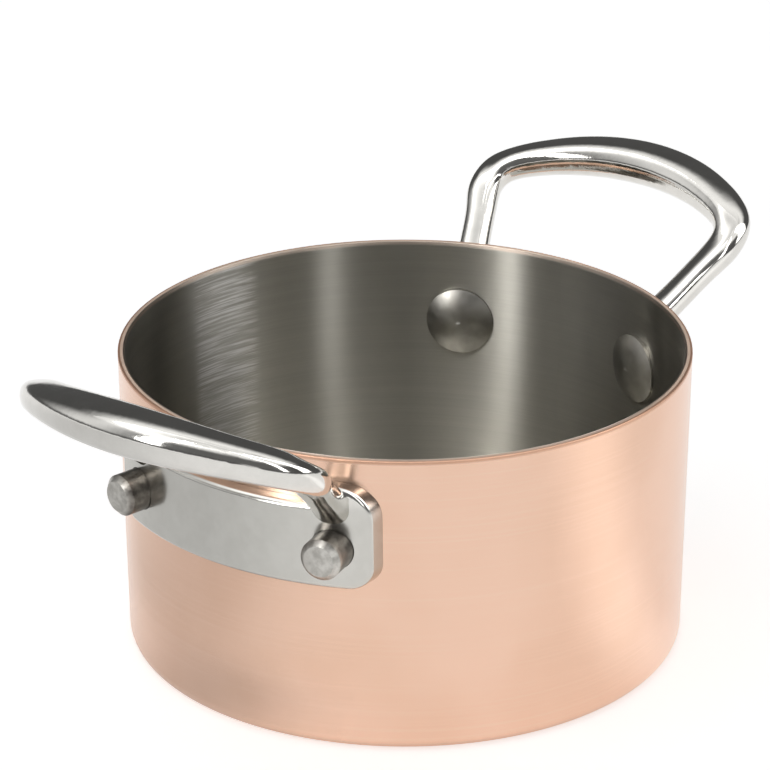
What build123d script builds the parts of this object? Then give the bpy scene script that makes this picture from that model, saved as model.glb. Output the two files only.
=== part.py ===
"""A small copper jam pan: a tri-ply bowl with two cast loop handles, each held by two rivets.

The frame is the pan's own: the origin is the centre of the underside, +Z points up and the handles
lie along +X and -X. Every length is in millimetres and every angle in degrees.
"""
import os
from math import asin, copysign, cos, pi, radians, sin, sqrt

from build123d import *

os.makedirs("parts", exist_ok=True)

# The bowl: outside sizes, and the three bonded layers of its sheet from outside to inside
rim_diameter = 100.0
wall_opening = 1.5
base_diameter = rim_diameter - wall_opening
pan_height = 53.6
copper_thickness = 0.4
aluminium_thickness = 0.5
steel_thickness = 0.3
inner_corner_radius = 0.8
rim_outer_rounding = 0.25
rim_inner_rounding = 0.12

# A handle's plate, seen square on: it lies against the wall, a little below the rim
plate_width_share = 0.524
plate_width = rim_diameter * plate_width_share
plate_drop = 7.6
plate_height = 14.9
plate_top = pan_height - plate_drop
plate_bottom = plate_top - plate_height
plate_thickness = 2.7
plate_corner_radius = 4.0
plate_edge_radius = 1.0
seat_clearance = 0.05

# The two ears at the plate's top corners, where the loop's legs grow out of it
ear_width = 8.6
ear_rise = 3.6
ear_outer_radius = ear_width * 0.7
ear_inner_radius = ear_rise * 0.42
ear_root_radius = ear_rise * 0.5

# The rivets: a domed head inside, a shank through wall and plate, and a tail that stands out.
# The heads' azimuth is wider than the shanks', because the shanks lean towards the handle's middle
rivet_height_share = 0.49
rivet_height = plate_bottom + plate_height * rivet_height_share
rivet_azimuth = 23.6
rivet_axis_azimuth = 11.5
shank_diameter = 7.2
head_diameter = 12.6
head_edge_height = 0.75
head_dome_height = 1.5
tail_length = 5.0
tail_chamfer = 0.9
bore_clearance = 0.1

# The loop: its middle line lies in a tilted plane, and is bowed up a little towards its two corners
loop_tilt = 36.0
root_inset = 4.6
root_rise = 1.6
root_spacing = plate_width - root_inset * 2
root_height = plate_top + root_rise
leg_splay = 6.2
corner_spacing = root_spacing + leg_splay * 2
corner_reach = 17.6
bar_bow = 11.1
corner_bend_radius = 7.4
loop_bow_radius = 143.0

# The loop's oval sections: their level width and upright height, and how square their top and their
# underside are, where 2 is an ellipse
root_width = 7.2
root_thickness = 5.4
leg_width = 5.6
leg_thickness = 4.8
grip_width = 9.8
grip_thickness = 7.4
top_squareness = 2.8
underside_squareness = 2.2
section_points = 16

# How far cutting tools run past what they cut
overrun = 4.0

wall_thickness = copper_thickness + aluminium_thickness + steel_thickness


def wall_radius(height):
    """Outside radius of the wall, which opens a little towards the rim."""
    rim_radius, base_radius = rim_diameter / 2, base_diameter / 2
    return base_radius + (rim_radius - base_radius) * height / pan_height


def bowl_profile(inset, top):
    """Half section of all that lies inside the bowl's outer surface, moved in by inset."""
    with BuildSketch(Plane.XZ) as profile:
        with BuildLine():
            wall = FilletPolyline(
                (0, inset),
                (wall_radius(inset) - inset, inset),
                (wall_radius(top) - inset, top),
                radius=inner_corner_radius + wall_thickness - inset,
            )
            Polyline(wall @ 1, (0, top), (0, inset))
        make_face()
    return profile.sketch


def seat_direction(handle_angle, hand):
    """Direction from the pan's axis to a rivet's head, and that of its shank."""
    seat = radians(handle_angle + hand * rivet_azimuth)
    shank = radians(handle_angle + hand * rivet_axis_azimuth)
    return Vector(cos(seat), sin(seat), 0), Vector(cos(shank), sin(shank), 0)


def seat_point(handle_angle, hand):
    """Middle of a rivet's head on the bowl's inner wall."""
    direction, _ = seat_direction(handle_angle, hand)
    radius = wall_radius(rivet_height) - wall_thickness
    return direction * radius + Vector(0, 0, rivet_height)


def shank_plane(handle_angle, hand):
    """Plane across a rivet's shank where it leaves the head, facing outwards."""
    _, axis = seat_direction(handle_angle, hand)
    return Plane(origin=seat_point(handle_angle, hand), x_dir=(0, 0, 1), z_dir=axis)


def plate_face_distance():
    """Distance along a shank from the inner wall to the plate's outer face."""
    start = wall_radius(rivet_height) - wall_thickness
    face = wall_radius(rivet_height) + seat_clearance + plate_thickness
    lean = radians(rivet_azimuth - rivet_axis_azimuth)
    return sqrt(face**2 - (start * sin(lean)) ** 2) - start * cos(lean)


handle_angles = {"right": 0, "left": 180}
hands = {"a": 1, "b": -1}
shank_length = plate_face_distance() + tail_length


def cut_rivet_bores():
    """Takes the four bores out of the part being built."""
    for handle_angle in handle_angles.values():
        for hand in hands.values():
            with BuildSketch(shank_plane(handle_angle, hand)) as bore:
                Circle(shank_diameter / 2 + bore_clearance)
            extrude(bore.sketch, amount=shank_length, both=True, mode=Mode.SUBTRACT)


# Copper shell
with BuildPart() as copper_shell:
    revolve(bowl_profile(0, pan_height), axis=Axis.Z)
    rim_edge = copper_shell.edges().filter_by(GeomType.CIRCLE).group_by(Axis.Z)[-1]
    fillet(rim_edge, radius=rim_outer_rounding)
    revolve(bowl_profile(copper_thickness, pan_height + overrun), axis=Axis.Z, mode=Mode.SUBTRACT)
    cut_rivet_bores()
copper_shell.part.label = "copper_shell"
export_step(copper_shell.part, "parts/copper_shell.step")

# Aluminium core
core_inset = copper_thickness + aluminium_thickness
with BuildPart() as aluminium_core:
    revolve(bowl_profile(copper_thickness, pan_height), axis=Axis.Z)
    revolve(bowl_profile(core_inset, pan_height + overrun), axis=Axis.Z, mode=Mode.SUBTRACT)
    cut_rivet_bores()
aluminium_core.part.label = "aluminium_core"
export_step(aluminium_core.part, "parts/aluminium_core.step")

# Steel lining
with BuildPart() as steel_lining:
    revolve(bowl_profile(core_inset, pan_height), axis=Axis.Z)
    revolve(bowl_profile(wall_thickness, pan_height + overrun), axis=Axis.Z, mode=Mode.SUBTRACT)
    lip = steel_lining.edges().filter_by(GeomType.CIRCLE).group_by(Axis.Z)[-1].sort_by(SortBy.RADIUS)[0]
    fillet(lip, radius=rim_inner_rounding)
    cut_rivet_bores()
steel_lining.part.label = "steel_lining"
export_step(steel_lining.part, "parts/steel_lining.step")


# Loop of a handle: its middle line, in a tilted plane
tilt = radians(loop_tilt)
outward = Vector(cos(tilt), 0, sin(tilt))
loop_up = Vector(-sin(tilt), 0, cos(tilt))
across = Vector(0, 1, 0)
face_radius = wall_radius(root_height) + seat_clearance + plate_thickness
loop_origin = Vector(face_radius, 0, root_height)

# The curved plate falls away from the loop's origin towards the legs, so their roots start this far back
fall = face_radius - sqrt(face_radius**2 - (root_spacing / 2) ** 2)
root_depth = (fall + root_thickness / 2 * sin(tilt) + plate_thickness / 3) / cos(tilt)

with BuildLine(Plane(origin=loop_origin, x_dir=across, z_dir=-loop_up)) as middle_line:
    splay = (corner_spacing - root_spacing) / 2 / corner_reach
    root = (root_spacing / 2 - splay * root_depth, -root_depth)
    corner = (corner_spacing / 2, corner_reach)
    Line(root, corner)
    ThreePointArc(corner, (0, corner_reach + bar_bow), (-corner[0], corner[1]))
    Line((-corner[0], corner[1]), (-root[0], root[1]))
    widest = middle_line.vertices().sort_by(lambda vertex: abs(vertex.Y))[-2:]
    fillet(widest, radius=corner_bend_radius)
loop_path = middle_line.wires()[0]

# Sections at even steps from a root to the grip's middle: the share of the way from the leg's section
# to the grip's, and the share of the way from the leg's section to the root's
section_shares = [
    (0.00, 1.00),
    (0.00, 0.45),
    (0.00, 0.10),
    (0.00, 0.00),
    (0.04, 0.00),
    (0.13, 0.00),
    (0.26, 0.00),
    (0.41, 0.00),
    (0.57, 0.00),
    (0.73, 0.00),
    (0.87, 0.00),
    (0.96, 0.00),
    (1.00, 0.00),
]


def loop_station(share):
    """Plane across the loop at a share of its middle line, lifted off the flat by the loop's bow."""
    point, along = loop_path @ share, loop_path % share
    side = point.dot(across)
    lift = side**2 / (2 * loop_bow_radius)
    slope = side * along.dot(across) / loop_bow_radius
    direction = along + loop_up * slope
    return Plane(origin=point + loop_up * lift, x_dir=direction.cross(Vector(0, 0, 1)), z_dir=-direction)


def loop_section(width, thickness):
    """Points round a section: an oval whose top is flatter than its underside."""
    points = []
    for index in range(section_points):
        turn = 2 * pi * index / section_points
        squareness = top_squareness if sin(turn) > 0 else underside_squareness
        side = copysign(abs(cos(turn)) ** (2 / squareness), cos(turn))
        rise = copysign(abs(sin(turn)) ** (2 / squareness), sin(turn))
        points.append((side * width / 2, rise * thickness / 2))
    return points


def plate_outline():
    """The plate seen square on: a long plate with an ear at each top corner."""
    half, ear_top = plate_width / 2, plate_top + ear_rise
    with BuildSketch(Plane.YZ) as outline:
        with BuildLine():
            Polyline(
                (half, plate_bottom),
                (half, ear_top),
                (half - ear_width, ear_top),
                (half - ear_width, plate_top),
                (ear_width - half, plate_top),
                (ear_width - half, ear_top),
                (-half, ear_top),
                (-half, plate_bottom),
                close=True,
            )
        make_face()
        fillet(outline.vertices().group_by(Axis.Y)[1], radius=ear_root_radius)
        ear_corners = outline.vertices().group_by(Axis.Y)[-1].sort_by(Axis.X)
        fillet([ear_corners[0], ear_corners[-1]], radius=ear_outer_radius)
        fillet(outline.vertices().group_by(Axis.Y)[-1].sort_by(Axis.X)[1:-1], radius=ear_inner_radius)
        fillet(outline.vertices().group_by(Axis.Y)[0], radius=plate_corner_radius)
    return outline.sketch


def plate_reach():
    """Half section of all that lies inside the plate's outer face."""
    low, high = plate_bottom - overrun, plate_top + ear_rise + overrun
    cover = seat_clearance + plate_thickness
    with BuildSketch(Plane.XZ) as reach:
        with BuildLine():
            Polyline(
                (0, low),
                (wall_radius(low) + cover, low),
                (wall_radius(high) + cover, high),
                (0, high),
                close=True,
            )
        make_face()
    return reach.sketch


# Handles: the plate, the loop that grows out of its ears, and the rivets' bores
loop_sections = section_shares + section_shares[-2::-1]
with BuildPart() as right_handle:
    extrude(plate_outline(), amount=rim_diameter)
    revolve(plate_reach(), axis=Axis.Z, mode=Mode.INTERSECT)
    front = right_handle.faces().filter_by(GeomType.CONE)[0]
    fillet(front.edges(), radius=plate_edge_radius)
    for index, (grip_share, root_share) in enumerate(loop_sections):
        width = leg_width + (grip_width - leg_width) * grip_share + (root_width - leg_width) * root_share
        thickness = leg_thickness + (grip_thickness - leg_thickness) * grip_share
        thickness += (root_thickness - leg_thickness) * root_share
        with BuildSketch(loop_station(index / (len(loop_sections) - 1))):
            with BuildLine():
                Spline(*loop_section(width, thickness), periodic=True)
            make_face()
    loft()
    revolve(bowl_profile(-seat_clearance, pan_height + overrun), axis=Axis.Z, mode=Mode.SUBTRACT)
    cut_rivet_bores()
right_handle.part.label = "right_handle"
export_step(right_handle.part, "parts/right_handle.step")
with BuildPart() as left_handle:
    add(right_handle.part, rotation=(0, 0, handle_angles["left"]))
left_handle.part.label = "left_handle"
export_step(left_handle.part, "parts/left_handle.step")


def head_profile():
    """Half section of a rivet's head: an upright edge, then a dome."""
    radius, crown = head_diameter / 2, head_edge_height + head_dome_height
    sphere = (radius**2 + head_dome_height**2) / (2 * head_dome_height)
    half_angle = asin(radius / sphere) / 2
    shoulder = (sphere * sin(half_angle), crown - sphere * (1 - cos(half_angle)))
    return radius, crown, shoulder


# Rivets: each is one piece, with a head seated on the lining and a tail beyond the plate
for handle_name, handle_angle in handle_angles.items():
    for hand_name, hand in hands.items():
        seat = seat_point(handle_angle, hand)
        outwards, _ = seat_direction(handle_angle, hand)
        radius, crown, shoulder = head_profile()
        head_section = Plane(origin=seat, x_dir=Vector(0, 0, 1).cross(outwards), z_dir=(0, 0, 1))
        with BuildPart() as rivet:
            with BuildSketch(head_section):
                with BuildLine():
                    Polyline((0, -wall_thickness), (radius, -wall_thickness), (radius, head_edge_height))
                    ThreePointArc((radius, head_edge_height), shoulder, (0, crown))
                    Line((0, crown), (0, -wall_thickness))
                make_face()
            revolve(axis=Axis(seat, outwards))
            revolve(bowl_profile(wall_thickness + seat_clearance, pan_height), axis=Axis.Z, mode=Mode.INTERSECT)
            shank = shank_plane(handle_angle, hand)
            with BuildSketch(shank.offset(-head_edge_height)):
                Circle(shank_diameter / 2)
            extrude(amount=head_edge_height + shank_length)
            tip = rivet.edges().sort_by(Axis(seat, shank.z_dir))[-1]
            chamfer(tip, length=tail_chamfer)
        name = f"{handle_name}_handle_rivet_{hand_name}"
        rivet.part.label = name
        export_step(rivet.part, f"parts/{name}.step")
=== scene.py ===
from math import cos, radians, sin

import bpy
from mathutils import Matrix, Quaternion, Vector

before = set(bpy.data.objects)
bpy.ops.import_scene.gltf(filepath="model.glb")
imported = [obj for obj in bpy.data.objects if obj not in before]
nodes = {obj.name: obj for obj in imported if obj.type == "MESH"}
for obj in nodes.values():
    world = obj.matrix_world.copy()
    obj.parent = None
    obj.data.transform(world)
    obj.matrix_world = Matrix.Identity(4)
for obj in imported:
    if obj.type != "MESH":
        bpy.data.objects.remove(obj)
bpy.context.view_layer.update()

# Tones of the metals, as linear red, green and blue with alpha
copper_deep = (0.76, 0.505, 0.375, 1)
copper_pale = (0.81, 0.55, 0.42, 1)
copper_line = (0.95, 0.72, 0.60, 1)
copper_rim = (0.50, 0.27, 0.17, 1)
copper_foot = (0.45, 0.24, 0.15, 1)
lining_dark = (0.43, 0.415, 0.375, 1)
lining_pale = (0.47, 0.455, 0.41, 1)
lining_cloud = (0.40, 0.38, 0.33, 1)
lining_shade = (0.22, 0.21, 0.19, 1)
# The lining's scratches where they carry a painted highlight
lining_scratch_glint = (0.64, 0.625, 0.60, 1)
lining_rim = (0.66, 0.56, 0.48, 1)
core_dark = (0.66, 0.50, 0.40, 1)
core_pale = (0.82, 0.66, 0.54, 1)
loop_dark = (0.67, 0.655, 0.62, 1)
loop_pale = (0.72, 0.705, 0.67, 1)
plate_dark = (0.55, 0.54, 0.505, 1)
plate_pale = (0.585, 0.575, 0.54, 1)
rivet_dark = (0.34, 0.325, 0.295, 1)
rivet_pale = (0.43, 0.415, 0.38, 1)
shank_dark = (0.15, 0.135, 0.12, 1)
shank_pale = (0.25, 0.23, 0.205, 1)
# The rivet tail's end: a painted highlight
tail_highlight_dark = (0.40, 0.385, 0.355, 1)
tail_highlight_pale = (0.60, 0.585, 0.55, 1)

# How far the studio is turned from the frame, in degrees, so that its azimuth 0 lies behind the pan
studio_turn = 54.1

# Where a finish changes, in metres: heights, and distances from the pan's axis
rim_heights = (0.0528, 0.0533)
foot_heights = (0.0018, 0.0002)
plate_heights = (0.0478, 0.0455)
shank_reaches = (0.0500, 0.0510)
tail_end_reaches = (0.0562, 0.0576)

# The heights between which the lining's tone darkens towards the rim
darker_heights = (0.012, 0.050)

# The patch of the lining's wall where its brush scratches carry a painted highlight: the angles and heights
# at which it fades in
glint_start_degrees = (69, 72)
glint_end_degrees = (89, 86)
glint_heights = (0.004, 0.012)


# Materials: small helpers for node trees

class Tree:
    """A material's node tree, with short calls for the nodes that the finishes use."""

    def __init__(self, name):
        self.material = bpy.data.materials.new(name)
        self.material.use_nodes = True
        self.nodes = self.material.node_tree.nodes
        self.links = self.material.node_tree.links
        self.shader = self.nodes["Principled BSDF"]
        self.place = self.nodes.new("ShaderNodeTexCoord").outputs["Object"]

    def put(self, socket, value):
        if hasattr(value, "is_output"):
            self.links.new(value, socket)
        else:
            socket.default_value = value

    def math(self, operation, first, second=0.0, third=0.0):
        node = self.nodes.new("ShaderNodeMath")
        node.operation = operation
        for socket, value in zip(node.inputs, (first, second, third)):
            self.put(socket, value)
        return node.outputs[0]

    def parts(self):
        node = self.nodes.new("ShaderNodeSeparateXYZ")
        self.put(node.inputs[0], self.place)
        return node.outputs

    def reach(self):
        """Distance from the pan's axis."""
        x, y, _ = self.parts()
        return self.math("SQRT", self.math("MULTIPLY_ADD", x, x, self.math("MULTIPLY", y, y)))

    def vector(self, x, y, z):
        node = self.nodes.new("ShaderNodeCombineXYZ")
        for socket, value in zip(node.inputs, (x, y, z)):
            self.put(socket, value)
        return node.outputs[0]

    def noise(self, vector, scale, detail=2.0, roughness=0.5):
        node = self.nodes.new("ShaderNodeTexNoise")
        values = {"Vector": vector, "Scale": scale, "Detail": detail, "Roughness": roughness}
        for name, value in values.items():
            self.put(node.inputs[name], value)
        return node.outputs["Fac"]

    def between(self, value, low, high, out_low=0.0, out_high=1.0):
        node = self.nodes.new("ShaderNodeMapRange")
        node.interpolation_type = "SMOOTHSTEP"
        for socket, number in zip(node.inputs, (value, low, high, out_low, out_high)):
            self.put(socket, number)
        return node.outputs[0]

    def mix(self, share, first, second):
        node = self.nodes.new("ShaderNodeMix")
        node.data_type = "RGBA"
        self.put(node.inputs["Factor"], share)
        self.put(node.inputs[6], first)
        self.put(node.inputs[7], second)
        return node.outputs[2]

    def bump(self, height, distance, strength):
        node = self.nodes.new("ShaderNodeBump")
        self.put(node.inputs["Height"], height)
        node.inputs["Distance"].default_value = distance
        node.inputs["Strength"].default_value = strength
        return node.outputs[0]

    def metal(self, color, roughness, normal=None):
        self.put(self.shader.inputs["Base Color"], color)
        self.put(self.shader.inputs["Roughness"], roughness)
        self.shader.inputs["Metallic"].default_value = 1.0
        if normal:
            self.links.new(normal, self.shader.inputs["Normal"])


def turned_lines(tree, stretch, pitch):
    """Fine lines that run round the pan's axis, on its wall and on its floor alike."""
    x, y, z = tree.parts()
    run = tree.math("ADD", tree.reach(), z)
    scales = ((x, stretch), (y, stretch), (run, pitch))
    return tree.vector(*(tree.math("MULTIPLY", value, scale) for value, scale in scales))


def brushed_round(tree, amount):
    """Stretches the highlights across the turned lines, up and down the wall."""
    tangent = tree.nodes.new("ShaderNodeTangent")
    tangent.direction_type = "RADIAL"
    tangent.axis = "Z"
    tree.links.new(tangent.outputs[0], tree.shader.inputs["Tangent"])
    tree.shader.inputs["Anisotropic"].default_value = amount
    tree.shader.inputs["Anisotropic Rotation"].default_value = 0.25


def copper_finish():
    """Satin copper: fine turned lines, soft clouds of tone and a darker line at the rim."""
    tree = Tree("copper")
    lines = tree.noise(turned_lines(tree, 14, 2600), 1.0, 3)
    clouds = tree.noise(tree.place, 45, 2)
    height = tree.parts()[2]
    tone = tree.mix(tree.between(clouds, 0.35, 0.68), copper_deep, copper_pale)
    tone = tree.mix(tree.between(lines, 0.45, 0.75, 0, 0.10), tone, copper_line)
    rim = tree.between(height, *rim_heights, 0, 0.6)
    tone = tree.mix(rim, tone, copper_rim)
    foot = tree.between(height, *foot_heights, 0, 0.55)
    tone = tree.mix(foot, tone, copper_foot)
    roughness = tree.math("MULTIPLY_ADD", rim, 0.4, tree.between(clouds, 0.3, 0.7, 0.21, 0.27))
    tree.metal(tone, roughness, tree.bump(lines, 0.00001, 0.2))
    brushed_round(tree, 0.35)
    return tree.material


def lining_finish():
    """Steel brushed round the axis, dull enough to blur what it reflects, with a patch of scratches painted
    bright as a highlight.
    """
    tree = Tree("lining")
    fine = tree.noise(turned_lines(tree, 30, 4200), 1.0, 4, 0.65)
    broad = tree.noise(turned_lines(tree, 9, 700), 1.0, 3)
    clouds = tree.noise(tree.place, 40, 3)
    streaks = tree.math("MULTIPLY_ADD", broad, 0.4, tree.math("MULTIPLY", fine, 0.6))
    tone = tree.mix(tree.between(streaks, 0.38, 0.62), lining_dark, lining_pale)
    tone = tree.mix(tree.between(clouds, 0.35, 0.7, 0, 0.25), tone, lining_cloud)
    x, y, z = tree.parts()
    tone = tree.mix(tree.between(z, *darker_heights, 0, 0.25), tone, lining_shade)
    # Painted highlight: the brush scratches are painted bright in one patch of the wall
    angle = tree.math("ARCTAN2", y, x)
    start = tree.between(angle, *map(radians, glint_start_degrees))
    end = tree.between(angle, *map(radians, glint_end_degrees))
    scratches = tree.between(tree.noise(turned_lines(tree, 100, 3000), 1.0, 3, 0.6), 0.40, 0.66)
    arc = tree.math("MULTIPLY", start, end)
    glint_patch = tree.math("MULTIPLY", arc, tree.between(z, *glint_heights))
    scratch_glint = tree.math("MULTIPLY", glint_patch, scratches)
    tone = tree.mix(scratch_glint, tone, lining_scratch_glint)
    edge = tree.between(z, *rim_heights)
    tone = tree.mix(edge, tone, lining_rim)
    roughness = tree.between(streaks, 0.3, 0.7, 0.33, 0.28)
    roughness = tree.math("MULTIPLY_ADD", edge, 0.3, roughness)
    tree.metal(tone, roughness, tree.bump(fine, 0.00002, 0.4))
    brushed_round(tree, 1.0)
    return tree.material


def core_finish():
    """The middle of the sheet, which shows only as part of the rim's edge and is coppery there."""
    tree = Tree("core")
    grain = tree.noise(turned_lines(tree, 60, 900), 1.0, 3)
    tone = tree.mix(grain, core_dark, core_pale)
    tree.metal(tone, tree.between(grain, 0.3, 0.7, 0.5, 0.6))
    return tree.material


def handle_finish():
    """Cast stainless steel, polished bright on the loop and a little duller on the plate."""
    tree = Tree("handle")
    haze = tree.noise(tree.place, 260, 4, 0.6)
    waves = tree.noise(tree.place, 90, 1)
    height = tree.parts()[2]
    plate = tree.between(height, *plate_heights)
    shine = tree.between(haze, 0.35, 0.7, 0.07, 0.11)
    satin = tree.between(haze, 0.35, 0.7, 0.17, 0.20)
    roughness = tree.math("MULTIPLY_ADD", plate, tree.math("SUBTRACT", satin, shine), shine)
    bright = tree.mix(tree.between(haze, 0.3, 0.7), loop_dark, loop_pale)
    grey = tree.mix(tree.between(haze, 0.3, 0.7), plate_dark, plate_pale)
    tone = tree.mix(plate, bright, grey)
    tree.metal(tone, roughness, tree.bump(waves, 0.00012, 0.15))
    return tree.material


def rivet_finish():
    """Satin steel with a fine grain, darker on the shank and with a painted highlight on its end."""
    tree = Tree("rivet")
    grain = tree.noise(tree.place, 600, 3, 0.6)
    clouds = tree.noise(tree.place, 240, 3)
    tone = tree.mix(tree.between(clouds, 0.35, 0.7), rivet_dark, rivet_pale)
    reach = tree.reach()
    shank = tree.mix(tree.between(grain, 0.35, 0.65), shank_dark, shank_pale)
    tone = tree.mix(tree.between(reach, *shank_reaches), tone, shank)
    # Painted highlight: the tail's end is painted lighter than the rest of the rivet
    end_highlight = tree.mix(tree.between(grain, 0.3, 0.7), tail_highlight_dark, tail_highlight_pale)
    tone = tree.mix(tree.between(reach, *tail_end_reaches), tone, end_highlight)
    roughness = tree.between(grain, 0.3, 0.7, 0.30, 0.40)
    tree.metal(tone, roughness, tree.bump(grain, 0.00001, 0.3))
    return tree.material


finishes = {
    "copper_shell": copper_finish(),
    "aluminium_core": core_finish(),
    "steel_lining": lining_finish(),
}
handle_metal = handle_finish()
rivet_metal = rivet_finish()
for name, node in nodes.items():
    finish = finishes.get(name) or (rivet_metal if "rivet" in name else handle_metal)
    node.data.materials.clear()
    node.data.materials.append(finish)


# Studio: a white floor and background, dark surroundings above, and bright soft boxes

def blank_material(name):
    """A new material and its node tree, without any nodes."""
    material = bpy.data.materials.new(name)
    material.use_nodes = True
    material.node_tree.nodes.clear()
    return material, material.node_tree


def largest(tree, first, second):
    """The larger of two values."""
    node = tree.nodes.new("ShaderNodeMath")
    node.operation = "MAXIMUM"
    tree.links.new(first, node.inputs[0])
    tree.links.new(second, node.inputs[1])
    return node.outputs[0]


def glow(name, strength):
    """Plain light of one strength, which fades out where the mesh's fade value falls."""
    material, tree = blank_material(name)
    light = tree.nodes.new("ShaderNodeEmission")
    light.inputs["Strength"].default_value = strength
    fade = tree.nodes.new("ShaderNodeAttribute")
    fade.attribute_name = "fade"
    mix = tree.nodes.new("ShaderNodeMixShader")
    tree.links.new(fade.outputs["Fac"], mix.inputs[0])
    tree.links.new(tree.nodes.new("ShaderNodeBsdfTransparent").outputs[0], mix.inputs[1])
    tree.links.new(light.outputs[0], mix.inputs[2])
    tree.links.new(mix.outputs[0], tree.nodes.new("ShaderNodeOutputMaterial").inputs[0])
    return material


def ease(share):
    """A share from 0 to 1 with soft ends."""
    share = min(1.0, max(0.0, share))
    return share * share * (3 - 2 * share)


def card(name, point, strength, soft, steps):
    """A curved sheet seen in reflections only: point gives its place for shares across and along."""
    points, faces, fades = [], [], []
    for j in range(steps + 1):
        for i in range(steps + 1):
            across, along = i / steps, j / steps
            points.append(point(across, along))
            fades.append(ease(min(across, 1 - across) / soft[0]) * ease(min(along, 1 - along) / soft[1]))
    for j in range(steps):
        for i in range(steps):
            a = j * (steps + 1) + i
            faces.append((a, a + 1, a + steps + 2, a + steps + 1))
    mesh = bpy.data.meshes.new(name)
    mesh.from_pydata(points, [], faces)
    mesh.attributes.new("fade", "FLOAT", "POINT").data.foreach_set("value", fades)
    mesh.materials.append(glow(name, strength))
    thing = bpy.data.objects.new(name, mesh)
    bpy.context.scene.collection.objects.link(thing)
    thing.visible_camera = thing.visible_diffuse = thing.visible_shadow = thing.visible_transmission = False


def dome_part(radius, azimuth, half_width, low, high):
    """Part of a sphere round the pan. Azimuth 0 is away from the camera, and 90 is to its right."""
    def point(across, along):
        turn = radians(azimuth - half_width + 2 * half_width * across + studio_turn)
        rise = radians(low + (high - low) * along)
        return (radius * cos(rise) * sin(turn), radius * cos(rise) * cos(turn), radius * sin(rise))
    return point


def floor_part(height, azimuth, half_width, near, far):
    """Part of a ring that lies just above the floor round the pan, for painted shade and painted light seen
    in reflections.
    """
    def point(across, along):
        turn = radians(azimuth - half_width + 2 * half_width * across + studio_turn)
        reach = near + (far - near) * along
        return (reach * sin(turn), reach * cos(turn), height)
    return point


# The cards lie one inside the other round the pan, and one above the other on the floor
dome_radius, dome_spacing, dome_steps = 1.6, 0.05, 48
floor_lift, floor_spacing, floor_steps = 0.0004, 0.0002, 24

# Azimuth, half width, lowest and highest elevation in degrees, strength, softness across and along
dome_cards = [
    (0, 180, 0, 90, 0.09, 0.0001, 0.04),
    (180, 70, 4, 60, 0.15, 0.3, 0.2),
    (268, 48, 4, 60, 0.95, 0.5, 0.2),
    (0, 180, 40, 84, 1.2, 0.0001, 0.5),
    (147, 6.5, 8, 85, 4.8, 0.3, 0.1),
    (92, 18, 6, 85, 3.3, 0.15, 0.1),
    (226, 7.5, 8, 85, 18.0, 0.55, 0.1),
]
for number, (azimuth, half_width, bottom, top, strength, soft_across, soft_along) in enumerate(dome_cards):
    shape = dome_part(dome_radius - dome_spacing * number, azimuth, half_width, bottom, top)
    card(f"dome_card_{number}", shape, strength, (soft_across, soft_along), dome_steps)

# Painted shade and painted light on the floor, seen in reflections only: two darker sheets, the second a
# painted contact shade by the pan's foot, and one brighter sheet
# Azimuth, half width in degrees, nearest and furthest reach in metres, strength, softness
floor_shade_and_light_cards = [
    (-105, 62, 0.04, 0.8, 0.73, 0.45, 0.03),
    (-130, 42, 0.044, 0.07, 0.62, 0.5, 0.3),
    (112, 22, 0.04, 0.8, 1.35, 0.5, 0.03),
]
for number, (azimuth, half_width, near, far, strength, soft_across, soft_along) in enumerate(floor_shade_and_light_cards):
    shape = floor_part(floor_lift + floor_spacing * number, azimuth, half_width, near, far)
    card(f"floor_shade_and_light_{number}", shape, strength, (soft_across, soft_along), floor_steps)


# Strength of the floor's own light, which only the camera and the reflections see
floor_glow = 0.62


def floor_finish():
    """White floor that keeps a faint shadow of the pan, with a little light of its own."""
    material, tree = blank_material("floor")
    paint = tree.nodes.new("ShaderNodeBsdfDiffuse")
    paint.inputs["Color"].default_value = (0.85, 0.85, 0.85, 1)
    light = tree.nodes.new("ShaderNodeEmission")
    ray = tree.nodes.new("ShaderNodeLightPath").outputs
    dim = tree.nodes.new("ShaderNodeMath")
    dim.operation = "MULTIPLY"
    tree.links.new(largest(tree, ray["Is Camera Ray"], ray["Is Glossy Ray"]), dim.inputs[0])
    dim.inputs[1].default_value = floor_glow
    tree.links.new(dim.outputs[0], light.inputs["Strength"])
    both = tree.nodes.new("ShaderNodeAddShader")
    tree.links.new(paint.outputs[0], both.inputs[0])
    tree.links.new(light.outputs[0], both.inputs[1])
    tree.links.new(both.outputs[0], tree.nodes.new("ShaderNodeOutputMaterial").inputs[0])
    return material


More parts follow.
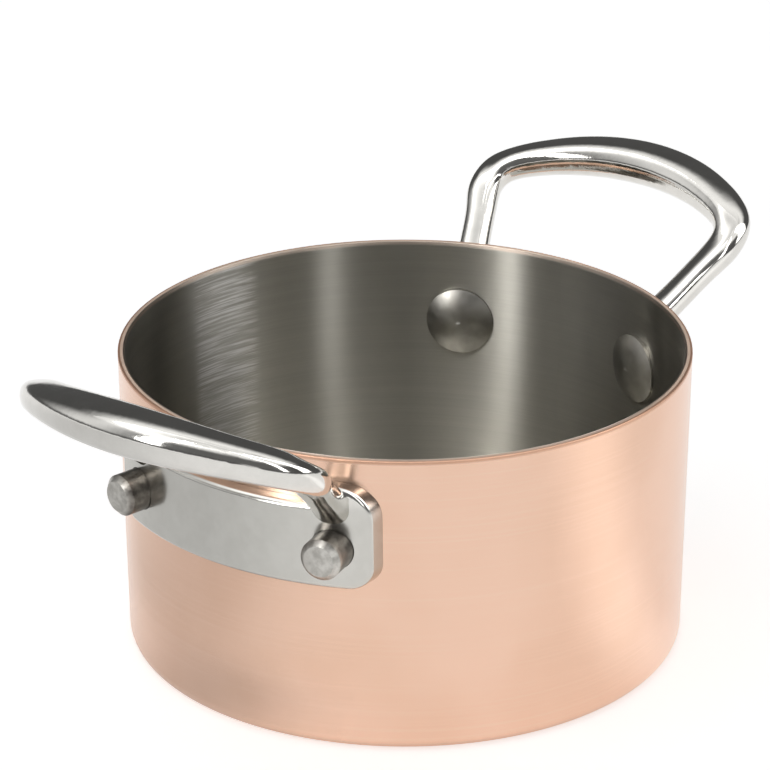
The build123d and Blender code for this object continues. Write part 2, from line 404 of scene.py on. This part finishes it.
floor_reach = 6
floor_mesh = bpy.data.meshes.new("floor")
floor_corners = [(x * floor_reach, y * floor_reach, 0) for x, y in ((-1, -1), (1, -1), (1, 1), (-1, 1))]
floor_mesh.from_pydata(floor_corners, [], [(0, 1, 2, 3)])
floor_mesh.materials.append(floor_finish())
floor = bpy.data.objects.new("floor", floor_mesh)
bpy.context.scene.collection.objects.link(floor)

# World: white where it is seen, and dim as a light on the pan
world = bpy.data.worlds.new("studio")
bpy.context.scene.world = world
world.use_nodes = True
tree = world.node_tree
tree.nodes.clear()
ray = tree.nodes.new("ShaderNodeLightPath").outputs
seen = largest(tree, ray["Is Camera Ray"], ray["Is Glossy Ray"])
level = tree.nodes.new("ShaderNodeMapRange")
tree.links.new(largest(tree, seen, ray["Is Transmission Ray"]), level.inputs["Value"])
level.inputs["To Min"].default_value = 0.35
level.inputs["To Max"].default_value = 1.0
sky = tree.nodes.new("ShaderNodeBackground")
tree.links.new(level.outputs[0], sky.inputs["Strength"])
tree.links.new(sky.outputs[0], tree.nodes.new("ShaderNodeOutputWorld").inputs[0])

# One large square lamp overhead, aimed at the middle of the pan
lamp_data = bpy.data.lights.new("overhead", "AREA")
lamp_data.size = 1.4
lamp_data.energy = 5
lamp = bpy.data.objects.new("overhead", lamp_data)
lamp.location = (-0.2, 0.2, 1.3)
pan_middle = Vector((0, 0, 0.03))
lamp.rotation_mode = "QUATERNION"
lamp.rotation_quaternion = (pan_middle - lamp.location).to_track_quat("-Z", "Y")
bpy.context.scene.collection.objects.link(lamp)

# Camera: the photograph's viewpoint
camera_data = bpy.data.cameras.new("camera")
camera_data.lens = 176.8
camera_data.sensor_width = 36
camera = bpy.data.objects.new("camera", camera_data)
bpy.context.scene.collection.objects.link(camera)
heading, dip, roll = radians(36.23), radians(23.402), radians(0.116)
ahead = Vector((cos(dip) * cos(heading), cos(dip) * sin(heading), -sin(dip)))
camera.location = (-0.49207, -0.35619, 0.30853)
camera.rotation_mode = "QUATERNION"
camera.rotation_quaternion = Quaternion(ahead, roll) @ ahead.to_track_quat("-Z", "Y")
bpy.context.scene.camera = camera
bpy.context.scene.view_settings.view_transform = "Standard"
